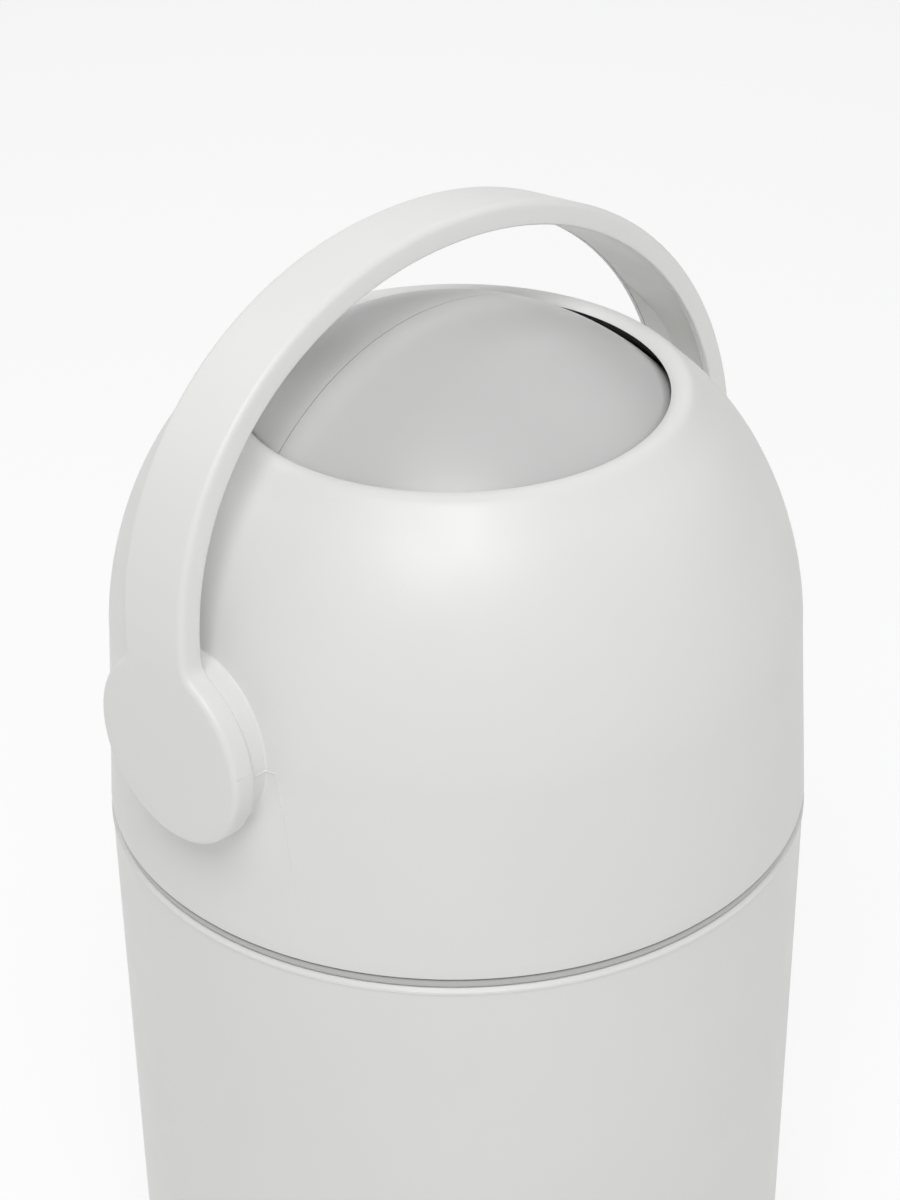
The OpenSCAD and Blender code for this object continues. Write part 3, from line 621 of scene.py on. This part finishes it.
class BIN_OT_lid_parts(bpy.types.Operator):
    """Makes the plate across the lid's bottom and the three seals of the lid"""

    bl_idname = "nappy_bin.lid_parts"
    bl_label = "Lid plate and seals"

    def execute(self, context):
        sizes = context.scene.bin_sizes
        low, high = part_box("lid_plate")
        plate = notched_ring(PLATE_BORE, high[0], low[2], low[2] + 3 * MM,
                             PLATE_NOTCH, HINGE_Y - 10.5 * MM, 0.4 * MM)
        rib = bar(*RIB_RADII, low[2] + 1 * MM, high[2], 0.4 * MM, 3)
        add_piece("lid_plate_ring", [plate, hoop(rib)], "lid", "lid_plate")

        ball_r = sizes.ball_off + sizes.ball_arc + 0.6 * MM
        on_ball = lambda h: math.sqrt(ball_r**2 - h**2)
        top, outer = SEAM_Z + sizes.mouth_h - 0.9 * MM, sizes.mouth_r + 6.9 * MM
        foot = PIVOT_Z + SEAL_FOOT
        rim = rounded([(sizes.mouth_r + 1.2 * MM, top), (outer, top), (outer, foot),
                       (on_ball(SEAL_FOOT), foot), (on_ball(SEAL_EDGE), PIVOT_Z + SEAL_EDGE)],
                      0.3 * MM, 3)
        add_piece("rim_seal_ring", [hoop(rim)], "lid", "rim_seal")

        low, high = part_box("wiper_seal")
        drop = PIVOT_Z - np.array([low[2], high[2]])
        wiper = rounded([(on_ball(drop[0]), low[2]), (high[0], low[2]), (high[0], high[2]),
                         (on_ball(drop[1]), high[2])], 0.35 * MM, 3)
        add_piece("wiper_seal_ring", [hoop(wiper)], "lid", "wiper_seal")

        low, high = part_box("lid_gasket")
        gasket = bar(high[0] - GASKET_WIDTH, high[0], low[2], high[2], 0.6 * MM, 4)
        add_piece("lid_gasket_ring", [broken_ring(gasket, GASKET_GAP)], "lid", "lid_gasket")
        return {"FINISHED"}


# ---- bucket

def bucket_profile(sizes):
    """Half of the bucket's section from the middle of its underside to the middle of its floor:
    straight lines with rounded corners. The wall leans out evenly from the foot to a low bead
    round the rim, whose sloping top ends at a step."""
    wall, lift, bead, step = sizes.bucket_wall, sizes.floor_lift, sizes.rim_bead, sizes.rim_step
    under = [(0, lift), (sizes.foot_r - 20 * MM, lift), (sizes.foot_r - 18 * MM, 0),
             (sizes.foot_r, 0)]
    rim = np.array([(-bead, -3.3 * MM), (0, -2.9 * MM), (0, -step - 1.4 * MM),
                    (-1.8 * MM, -step), (-2.1 * MM, -step), (-2.1 * MM, 0), (-wall, 0)])
    inside = [(sizes.foot_r - wall, lift + wall), (0, lift + wall)]
    rim_radii = np.array([0.3, 0.15, 1.0, 0.3, 0, 0, 0.3]) * MM
    radii = [0, 1 * MM, 0.8 * MM, sizes.foot_round, *rim_radii, 5 * MM, 0]
    line = dense(rounded(join([under, rim + (BUCKET_R, BUCKET_H), inside]), radii, 9), 12 * MM)
    lowest = np.flatnonzero((line[:, 0] < 1e-6) & (np.abs(line[:, 1] - lift) < 1e-6))[0]
    line = np.roll(line, -lowest, 0)
    end = np.flatnonzero((line[:, 0] < 1e-6) & (np.abs(line[:, 1] - lift - wall) < 1e-6))[-1]
    return line[:end + 1]


class BIN_OT_bucket(bpy.types.Operator):
    """Makes the bucket and the flat seat inside its back wall"""

    bl_idname = "nappy_bin.bucket"
    bl_label = "Bucket"

    def execute(self, context):
        sizes = context.scene.bin_sizes
        shell = turned(bucket_profile(sizes), angles_round(360))
        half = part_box("hinge_bracket")[1][0] + 2 * MM
        seat = block((-half, HINGE_Y - 1 * MM, BUCKET_H - 46 * MM),
                     (half, HINGE_Y + 1.2 * MM, BUCKET_H - 0.4 * MM), 0.6 * MM)
        add_piece("bucket_shell", [(shell, True, False), seat], "base", "bucket")
        return {"FINISHED"}


class BIN_OT_bag_ring(bpy.types.Operator):
    """Makes the ring that clamps the bag: a flat flange and a skirt, open at the hinge"""

    bl_idname = "nappy_bin.bag_ring"
    bl_label = "Bag ring"

    def execute(self, context):
        sizes = context.scene.bin_sizes
        low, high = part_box("bag_ring")
        flange = notched_ring(high[0] - FLANGE_WIDTH, high[0], BUCKET_H, high[2], HINGE_GAP,
                              HINGE_Y - 5 * MM, 0.6 * MM)
        skirt_r = BUCKET_R - sizes.bucket_wall - 0.6 * MM
        inner, foot, head = skirt_r - 2.4 * MM, low[2], BUCKET_H + 0.5 * MM
        skirt = rounded([(inner, foot), (skirt_r - 0.6 * MM, foot), (skirt_r, foot + 2 * MM),
                         (skirt_r, head), (inner, head)], 0.5 * MM, 4)
        add_piece("bag_ring_clamp", [flange, broken_ring(skirt, HINGE_GAP)], "base", "bag_ring")
        return {"FINISHED"}


# ---- rotor

def ball_half(sizes, side):
    """Half of the ball. From the lip of the well's mouth the skin runs
    out along each direction in the parting plane until it meets that plane; then come the flat
    end, the parting face, the well's wall and the lip. The skin's height is the root of the
    ball's radius squared at that x less z squared."""
    angles = np.linspace(0, FULL_TURN, 288, endpoint=False)[:, None]
    c, s = np.cos(angles), np.sin(angles)
    lip_r = sizes.well_r - sizes.well_lip
    radius_at = lambda x: sizes.ball_off + np.sqrt(np.maximum(sizes.ball_arc**2 - x**2, 0))
    # how far each direction runs before the skin meets the parting plane, by bisection
    reach, beyond = np.full_like(c, 50 * MM), np.full_like(c, 160 * MM)
    for _ in range(40):
        middle = (reach + beyond) / 2
        x, z = np.abs(middle * c), np.abs(middle * s)
        inside = (radius_at(x) > z) & (x < sizes.ball_end)
        reach, beyond = np.where(inside, middle, reach), np.where(inside, beyond, middle)
    turn = np.linspace(0, 1, 56)
    start = np.arccos(np.clip((lip_r + LIP_ROUND) / reach, -1, 1))
    r = reach * np.cos(start * (1 - turn))
    x, z = r * c, r * s
    y = np.sqrt(np.maximum(radius_at(np.abs(x)) ** 2 - z**2, 0))
    # the parting faces stand apart near the skin and meet farther in
    gap, deep = sizes.ball_line, sizes.ball_line_deep
    y = np.maximum(y, gap)
    edge_r, inner_r = reach - np.array([0, deep, deep]), [sizes.well_r] * 2 + [lip_r] * 2
    edge_y, inner_y = [gap, gap, FACE_GAP], [FACE_GAP, sizes.well_half, sizes.well_half]
    radii = beside(r, edge_r, inner_r)
    heights = beside(y, edge_y, inner_y, y[:, :1] - LIP_ROUND)
    return leaning(grid(radii * c, side * heights, radii * s)), True, True


class BIN_OT_rotor(bpy.types.Operator):
    """Makes the two half shells of the ball, with the well through them"""

    bl_idname = "nappy_bin.rotor"
    bl_label = "Ball"

    def execute(self, context):
        sizes = context.scene.bin_sizes
        hub = bar(HUB_BORE, HUB_R, sizes.ball_end - 1 * MM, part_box("rotor_front")[1][0],
                  0.3 * MM, 3)
        for where, side in (("front", -1), ("back", 1)):
            surfaces = [ball_half(sizes, side)]
            for end in (-1, 1):
                turn = np.linspace(0.002, math.pi - 0.002, 40) * side
                x, y, z = np.moveaxis(capped(turned(hub, turn)), -1, 0)
                surfaces.append((leaning(grid(end * z, y, x)), False, True))
            add_piece(f"ball_{where}_half", surfaces, "rotor", f"rotor_{where}")
        return {"FINISHED"}


# ---- handle

def arch_table(sizes):
    """Angles along the arch with the length run along the handle's outer face up to each."""
    t = np.linspace(0, math.pi / 2, 4000)
    c, s = power_arc(t, sizes.arch_power)
    u, h = HANDLE_HALF * c, sizes.leg_h + sizes.arch_rise * s
    run = join([[0], np.cumsum(np.hypot(np.diff(u), np.diff(h)))])
    return t, sizes.leg_h + run


def on_handle(sizes, run, depth, across):
    """A point of the handle, in the rotor's own frame: run is the length along the outer face from
    the axis, depth the distance under that face, across the distance from the middle plane. The
    leg is straight; above it lies a superellipse whose half sizes shrink by the depth."""
    t_all, run_all = arch_table(sizes)
    t = np.interp(run, run_all, t_all)
    c, s = power_arc(t, sizes.arch_power)
    u = (HANDLE_HALF - depth) * c
    h = np.minimum(run, sizes.leg_h) + (sizes.arch_rise - depth) * s
    return grid(u, across, h)


def handle_outline(sizes):
    """The handle laid flat, one quarter of it: points (across, run) from the bottom of the round
    end, round it, through the hollow neck and along the band to the top of the arch, each with its
    inward normal and the run of the middle line beside it."""
    band, neck, disc = sizes.band_w / 2, sizes.neck_r, sizes.disc_r
    rise = math.sqrt((disc + neck) ** 2 - (band + neck) ** 2)
    touch = math.atan2(rise, band + neck)
    round_end = np.linspace(-math.pi / 2, touch, 46)
    hollow = np.linspace(math.pi + touch, math.pi, 16)[1:]
    top, start = arch_table(sizes)[1][-1], cover_start(sizes)
    straight = join([np.linspace(rise, start - 0.02 * MM, 6)[1:],
                     np.linspace(start + 0.02 * MM, top, 110)])
    ones = np.ones(len(straight))
    across = join([disc * np.cos(round_end), band + neck + neck * np.cos(hollow), band * ones])
    run = join([disc * np.sin(round_end), rise + neck * np.sin(hollow), straight])
    normal_across = join([-np.cos(round_end), np.cos(hollow), -ones])
    normal_run = join([-np.sin(round_end), np.sin(hollow), 0 * ones])
    across[0] = 0
    return across, run, normal_across, normal_run


def cover_start(sizes):
    """The run at which the handle's cover starts."""
    t, run = arch_table(sizes)
    return np.interp(sizes.cover_from, t, run)


def cover_dip(sizes, run):
    """How deep the cover lies under the inner face: none along the arch, then a smooth step down
    to the full dip at the cover's start."""
    start = cover_start(sizes)
    share = np.clip((sizes.dip_run - run) / (sizes.dip_run - start - 14 * MM), 0, 1)
    return sizes.cover_dip * share**2 * (3 - 2 * share)


def handle_quarter(sizes):
    """A quarter of the handle's surface. Each row goes from the middle line of the outer face out
    to the rounded edge, over the side and back along the inner face, where the band has a recess
    for its cover."""
    across, run, n_across, n_run = (a[:, None] for a in handle_outline(sizes))
    middle = np.maximum(run, 0)
    thick, outer, inner = sizes.band_t, sizes.edge_r, sizes.inner_edge_r
    count, border = 7, sizes.cover_border
    turn, share = np.linspace(0, math.pi / 2, count), np.linspace(0, 1, count + 1)[:-1]
    edge_inset, edge_depth = outer * (1 - np.sin(turn)), outer * (1 - np.cos(turn))
    side = np.linspace(outer, thick - inner, 5)[1:-1]
    back_inset, back_depth = inner * (1 - np.cos(turn)), thick - inner * (1 - np.sin(turn))
    inset = join([np.full(count, outer), edge_inset, 0 * side, back_inset,
                  [border - 0.05 * MM], np.full(1 + count, border)])
    depth = join([np.zeros(count), edge_depth, side, back_depth, np.full(2 + count, thick)])
    weight = join([share, np.ones(len(depth) - 2 * count), share[::-1]])
    sunk = np.arange(len(depth)) >= len(depth) - count - 1
    v = (across + inset * n_across) * weight
    s = middle + (run + inset * n_run - middle) * weight
    recess = np.where(run > cover_start(sizes), sizes.cover_t + cover_dip(sizes, run), 0.0)
    return on_handle(sizes, s, depth - sunk * recess, v)


def cover_grid(sizes):
    """Half of the cover, from its start to the top of the arch, as closed sections: a flat
    underside, two edges, two plane slopes that fall inwards from the edges to the dip's depth,
    and the level floor between them."""
    start = cover_start(sizes) + sizes.cover_gap
    run = np.linspace(start, arch_table(sizes)[1][-1], 160)[:, None]
    half = sizes.band_w / 2 - sizes.cover_border - sizes.cover_gap
    dip, top = cover_dip(sizes, run), sizes.band_t
    foot = half - dip * sizes.dip_side / sizes.cover_dip
    under = top - sizes.cover_t + 0.05 * MM - dip
    slope, level = np.linspace(0, 1, 7), np.linspace(-1, 1, 12)[1:-1]
    turn, soft = np.linspace(0, math.pi / 2, 4), 0.4 * MM
    rim_v, rim_d = half - soft * (1 - np.cos(turn)), top - soft * (1 - np.sin(turn))
    slope_v = (half - soft) + (foot - half) * slope
    slope_d = top - dip * slope
    half_v = beside([half, half], rim_v, slope_v[:, 1:])
    half_d = beside(under, under + 0.3 * MM, rim_d, slope_d[:, 1:])
    floor_v, floor_d = -level * (foot - soft), top - dip + 0 * level
    across = beside(half_v, floor_v, -half_v[:, ::-1])
    depth = beside(half_d, floor_d, half_d[:, ::-1])
    return on_handle(sizes, run, depth, across)


class BIN_OT_handle(bpy.types.Operator):
    """Makes the arched handle with its round ends, and the cover on its inner side"""

    bl_idname = "nappy_bin.handle"
    bl_label = "Handle"

    def execute(self, context):
        sizes = context.scene.bin_sizes
        quarter, arch, ticks = handle_quarter(sizes), [], []
        depth = np.linspace(1.6 * MM, sizes.band_t - 1.2 * MM, 8)
        for x in (-1, 1):
            for y in (-1, 1):
                points = leaning(quarter * (x, y, 1))
                arch.append((points if x * y > 0 else points[::-1], False, False))
                path = grid(HANDLE_HALF - depth, sizes.disc_r, 0.0)
                normals = np.broadcast_to([0.0, y, 0.0], path.shape)
                tick = ridge(path * (x, y, 1), normals, 0.6 * sizes.ridge_h + 0 * depth)
                ticks.append((leaning(tick), False, True))
        add_piece("handle_arch", arch + ticks, "rotor", "handle", 40)

        near = cover_grid(sizes)
        far = near[::-1] * (-1, 1, 1)
        strip = capped(leaning(join([near, far[1:]])))
        add_piece("handle_cover_strip", [(strip, False, True)], "rotor", "handle_cover")
        return {"FINISHED"}


# ---- piston

def along_well(profile, start):
    """A profile of (radius, height) carried round the well's axis, its heights counted along the
    well from a start."""
    x, y, z = np.moveaxis(turned(profile, angles_round(180)), -1, 0)
    return leaning(grid(x, start + z, -y))


class BIN_OT_piston(bpy.types.Operator):
    """Makes the loose piston: its cup with a dished face, its cap and its two wipers"""

    bl_idname = "nappy_bin.piston"
    bl_label = "Piston"

    def execute(self, context):
        sizes = context.scene.bin_sizes
        r, size = sizes.piston_r, PISTON_LENGTH
        start = sizes.well_half - 56 * MM + 0.1 * MM
        bore, inner = r - PISTON_WALL, r - GROOVE_DEPTH
        cup = [(0, 1.0 * MM), (r - 8 * MM, 0.8 * MM), (r - 6 * MM, 0), (r, 0)]
        radii = [0, 3 * MM, 2 * MM, 2 * MM]
        for low in GROOVES:
            cup += [(r, low), (inner, low), (inner, low + 4 * MM), (r, low + 4 * MM)]
            radii += [0.2 * MM, 0, 0, 0.2 * MM]
        cup += [(r, size), (bore, size), (bore, 2.5 * MM), (0, 2.5 * MM)]
        radii += [2 * MM, 0.3 * MM, 1 * MM, 0]
        body = along_well(rounded(cup, radii, 6), start)
        add_piece("piston_body", [(body, True, False)], "piston", "piston_cup")

        rim, thick = bore - 0.1 * MM, 2.5 * MM
        cap = rounded([(0, 0), (rim, 0), (rim, thick), (30 * MM, thick), (28 * MM, 1.7 * MM),
                       (0, 1.7 * MM)], np.array([0, 0.3, 0.5, 1, 1, 0]) * MM, 5)
        cap = along_well(cap, start + size - thick)
        add_piece("piston_end_cap", [(cap, True, False)], "piston", "piston_cap")

        rings = []
        for low in (groove + 0.1 * MM for groove in GROOVES):
            band = bar(inner, r + 0.3 * MM, low, low + 3.8 * MM, 0.3 * MM, 4)
            rings.append((along_well(band, start), True, True))
        add_piece("piston_wiper_rings", rings, "piston", "piston_wipers")
        return {"FINISHED"}


# ---- carried-over pieces

class BIN_OT_small_parts(bpy.types.Operator):
    """Gives the hinge, axles, bushes and screws their finishes"""

    bl_idname = "nappy_bin.small_parts"
    bl_label = "Small parts"

    def execute(self, context):
        for name, node in frame["nodes"].items():
            if not node.hide_render:
                node.data.materials.clear()
                node.data.materials.append(finish(SLOTS[name]))
        return {"FINISHED"}


# ---- studio

class BinStudio(bpy.types.PropertyGroup):
    """The camera and the lights."""

    azimuth: number(
        "Azimuth", "Turn of the view; 0 looks along +Y", math.radians(-44.5), subtype="ANGLE")
    elevation: number("Elevation", "Angle of the view below the horizon", 0.5401, subtype="ANGLE")
    yaw: number("Yaw", "Turn of the camera to the side", -0.0019, subtype="ANGLE")
    roll: number("Roll", "Roll of the camera", -0.0111, subtype="ANGLE")
    distance: length("Distance", "Distance of the camera from the point it looks at", 1.18132)
    look_h: length("Look height", "Height of that point over the lid's edge", 0.078582)
    lens: number("Lens", "Focal length on a sensor 36 mm high", 90.22, unit="CAMERA")
    ambient: number("Ambient", "Strength of the even light from all round", 0.27)
    floor_glow: number("Floor glow", "Light that the floor gives off by itself", 0.74)
    front_box: number("Front box", "Strength of the soft box above the camera", 20.6, unit="POWER")
    left_box: number("Left box", "Strength of the soft box on the left", 7.2, unit="POWER")
    right_box: number("Right box", "Strength of the soft box on the right", 3.9, unit="POWER")
    back_box: number("Back box", "Strength of the soft box behind", 3.4, unit="POWER")
    back_left_box: number("Back left box", "Strength of the one behind left", 1.5, unit="POWER")
    back_right_box: number("Back right box", "Strength of the one behind right", 2.8, unit="POWER")


# each soft box: the setting that holds its power, its turn from the camera to the right and its
# height as angles in degrees, its distance and its size in metres
SOFT_BOXES = (
    ("front_box", -2, 56, 1.8, 1.0),
    ("left_box", -120, 38, 1.9, 1.4),
    ("right_box", 100, 35, 1.9, 1.4),
    ("back_box", 180, 25, 2.0, 1.4),
    ("back_left_box", -150, 45, 2.0, 1.4),
    ("back_right_box", 150, 45, 2.0, 1.4),
)


def soft_box(name, power, size, place, target):
    """A square soft box at a place, turned to a target."""
    light = bpy.data.lights.new(name, "AREA")
    light.shape = "SQUARE"
    light.size = size
    light.energy = power
    lamp = added(name, light)
    lamp.location = place
    lamp.rotation_euler = (target - place).to_track_quat("-Z", "Y").to_euler()


def studio_paper():
    """The floor's matt paper: it glows a little, and fine fibres mottle it."""
    look, base = Finish("studio_paper"), bpy.context.scene.bin_colours.floor
    look.fill(look.shader, {
        "Base Color": look.tinted(look.noise(40.0, 4.0), base, 0.003),
        "Roughness": 0.95,
        "Specular IOR Level": 0.0,
        "Emission Color": (1, 1, 1, 1),
        "Emission Strength": bpy.context.scene.bin_studio.floor_glow})
    return look.material


class BIN_OT_studio(bpy.types.Operator):
    """Makes the floor, the soft lights and the camera"""

    bl_idname = "nappy_bin.studio"
    bl_label = "Studio"

    def execute(self, context):
        scene, studio = context.scene, context.scene.bin_studio
        mesh = bpy.data.meshes.new("studio_floor")
        corners = np.array([(-1, -1, 0), (1, -1, 0), (1, 1, 0), (-1, 1, 0)]) * FLOOR_HALF
        mesh.from_pydata(corners.tolist(), [], [(0, 1, 2, 3)])
        mesh.materials.append(studio_paper())
        floor = added("studio_floor", mesh)

        world = bpy.data.worlds.new("studio_air")
        world.use_nodes = True
        sky = world.node_tree.nodes["Background"]
        sky.inputs["Color"].default_value = (1, 1, 1, 1)
        sky.inputs["Strength"].default_value = studio.ambient
        scene.world = world
        scene.view_settings.view_transform = "Standard"
        scene.view_settings.look = "None"

        c, s = math.cos(studio.azimuth), math.sin(studio.azimuth)
        right, forward, up = Vector((c, s, 0)), Vector((-s, c, 0)), Vector((0, 0, 1))
        middle = Vector((0, 0, PIVOT_Z))
        for name, turn, height, away, size in SOFT_BOXES:
            t, h = math.radians(turn), math.radians(height)
            level = right * math.sin(t) - forward * math.cos(t)
            place = middle + away * (math.cos(h) * level + math.sin(h) * up)
            soft_box(name, getattr(studio, name), size, place, middle)

        camera = added("camera", bpy.data.cameras.new("camera"))
        camera.data.sensor_fit = "VERTICAL"
        camera.data.sensor_height = 36
        camera.data.lens = studio.lens
        camera.data.clip_start, camera.data.clip_end = 0.01, 100
        gaze = math.cos(studio.elevation) * forward - math.sin(studio.elevation) * up
        place = Vector((0, 0, SEAM_Z + studio.look_h)) - studio.distance * gaze
        facing = Matrix((right, right.cross(gaze), -gaze)).transposed().to_4x4()
        turn = Matrix.Rotation(-studio.yaw, 4, "Y") @ Matrix.Rotation(studio.roll, 4, "Z")
        camera.matrix_world = Matrix.Translation(place) @ facing @ turn
        scene.camera = camera
        return {"FINISHED"}


# ---- sidebar

OPERATORS = (BIN_OT_studio, BIN_OT_bucket, BIN_OT_bag_ring, BIN_OT_dome, BIN_OT_lid_parts,
             BIN_OT_rotor, BIN_OT_handle, BIN_OT_piston, BIN_OT_small_parts)


class BIN_PT_panel(bpy.types.Panel):
    """The bin's sizes, colours and makers"""

    bl_idname = "BIN_PT_panel"
    bl_label = "Nappy bin"
    bl_space_type = "VIEW_3D"
    bl_region_type = "UI"
    bl_category = "Nappy bin"

    def draw(self, context):
        for operator in OPERATORS:
            self.layout.operator(operator.bl_idname)
        for key, group in GROUPS.items():
            box = self.layout.box()
            for name in group.__annotations__:
                box.prop(getattr(context.scene, key), name)


GROUPS = {"bin_sizes": BinSizes, "bin_colours": BinColours, "bin_studio": BinStudio}
CLASSES = (*GROUPS.values(), *OPERATORS, BIN_PT_panel)


def register():
    for cls in CLASSES:
        bpy.utils.register_class(cls)
    for name, group in GROUPS.items():
        setattr(bpy.types.Scene, name, bpy.props.PointerProperty(type=group))


def unregister():
    for name in GROUPS:
        delattr(bpy.types.Scene, name)
    for cls in reversed(CLASSES):
        bpy.utils.unregister_class(cls)


def main():
    """Builds everything in order."""
    register()
    for operator in OPERATORS:
        group, call = operator.bl_idname.split(".")
        getattr(getattr(bpy.ops, group), call)()


if __name__ == "__main__":
    main()
